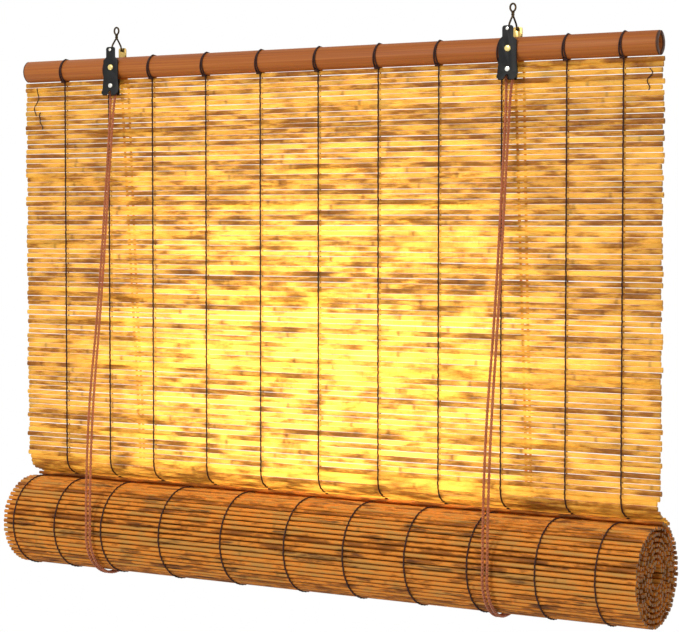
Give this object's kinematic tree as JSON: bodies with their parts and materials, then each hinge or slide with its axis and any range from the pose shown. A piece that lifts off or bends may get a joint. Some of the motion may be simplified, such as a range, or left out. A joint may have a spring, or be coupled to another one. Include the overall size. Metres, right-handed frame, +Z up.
{
  "type": "reed roll-up shade",
  "caption": "Reed roll-up shade on a split bamboo rail, partly rolled up in front, with cord pulleys and wire hangers.",
  "frame": {"origin": "hang_line: midway between the centres of the two hanger eyes", "axes": "+X along the shade's width, to the right seen from the room; +Y away from the viewer, through the mat; +Z up"},
  "size_m": [0.9, 0.127, 0.7038],
  "materials": {
    "reed": "satin, translucent",
    "bamboo_lath": "satin stained",
    "warp_twine": "matt",
    "pull_cord": "matt braided",
    "black_steel": "painted satin",
    "brass": "polished",
    "nickel": "nickel plated",
    "pulley_nylon": "satin",
    "bronze_wire": "bronzed"
  },
  "bodies": {
    "headrail": {"front_batten": "bamboo_lath", "front_cords_left": "pull_cord", "front_cords_right": "pull_cord", "front_plate_left": "black_steel", "front_plate_right": "black_steel", "inner_plate_left": "black_steel", "inner_plate_right": "black_steel", "pulley_loop_left": "pull_cord", "pulley_loop_right": "pull_cord", "pulley_pin_left": "nickel", "pulley_pin_right": "nickel", "rail_lashing_01": "warp_twine", "rail_lashing_02": "warp_twine", "rail_lashing_03": "warp_twine", "rail_lashing_04": "warp_twine", "rail_lashing_05": "warp_twine", "rail_lashing_06": "warp_twine", "rail_lashing_07": "warp_twine", "rail_lashing_08": "warp_twine", "rail_lashing_09": "warp_twine", "rail_lashing_10": "warp_twine", "rail_lashing_11": "warp_twine", "rail_rivet_left": "brass", "rail_rivet_right": "brass", "rear_batten": "bamboo_lath", "rear_cords_left": "pull_cord", "rear_cords_right": "pull_cord", "rear_plate_left": "brass", "rear_plate_right": "brass", "reed_mat": "reed", "warp_twine_01": "warp_twine", "warp_twine_02": "warp_twine", "warp_twine_03": "warp_twine", "warp_twine_04": "warp_twine", "warp_twine_05": "warp_twine", "warp_twine_06": "warp_twine", "warp_twine_07": "warp_twine", "warp_twine_08": "warp_twine", "warp_twine_09": "warp_twine", "warp_twine_10": "warp_twine", "warp_twine_11": "warp_twine"},
    "cradle": {"mat_bend": "reed", "cord_slings": "pull_cord"},
    "roll": {"rolled_mat": "reed", "roll_twines": "warp_twine"},
    "hanger_left": {"hanger_left": "bronze_wire"},
    "pulley_left": {"pulley_left": "pulley_nylon"},
    "hanger_right": {"hanger_right": "bronze_wire"},
    "pulley_right": {"pulley_right": "pulley_nylon"}
  },
  "joints": [
    {"name": "roll_lift", "type": "slide", "parent": "headrail", "child": "cradle", "axis": [0, 0, 1], "range_m": [0, 0.45], "deforming": ["reed_mat", "warp_twine_01", "warp_twine_02", "warp_twine_03", "warp_twine_04", "warp_twine_05", "warp_twine_06", "warp_twine_07", "warp_twine_08", "warp_twine_09", "warp_twine_10", "warp_twine_11", "front_cords_left", "front_cords_right", "rear_cords_left", "rear_cords_right"]},
    {"name": "roll_turn", "type": "hinge", "parent": "cradle", "child": "roll", "pos_m": [0, 0, -0.63548], "axis": [1, 0, 0], "range_deg": [-430, 0]},
    {"name": "pulley_left_turn", "type": "hinge", "parent": "headrail", "child": "pulley_left", "pos_m": [-0.3033, -0.0075, -0.0704], "axis": [0, 1, 0], "continuous": true},
    {"name": "pulley_right_turn", "type": "hinge", "parent": "headrail", "child": "pulley_right", "pos_m": [0.2678, -0.0075, -0.0704], "axis": [0, 1, 0], "continuous": true},
    {"name": "hanger_left_swing", "type": "hinge", "parent": "headrail", "child": "hanger_left", "pos_m": [-0.3033, 0, -0.0247], "axis": [0, 1, 0], "range_deg": [-60, 60]},
    {"name": "hanger_right_swing", "type": "hinge", "parent": "headrail", "child": "hanger_right", "pos_m": [0.2678, 0, -0.0247], "axis": [0, 1, 0], "range_deg": [-60, 60]}
  ],
  "couplings": [
    {"joint": "roll_turn", "follows": "roll_lift", "rad_per_m": -16.611},
    {"joint": "pulley_left_turn", "follows": "roll_lift", "rad_per_m": 370.37},
    {"joint": "pulley_right_turn", "follows": "roll_lift", "rad_per_m": 370.37}
  ]
}
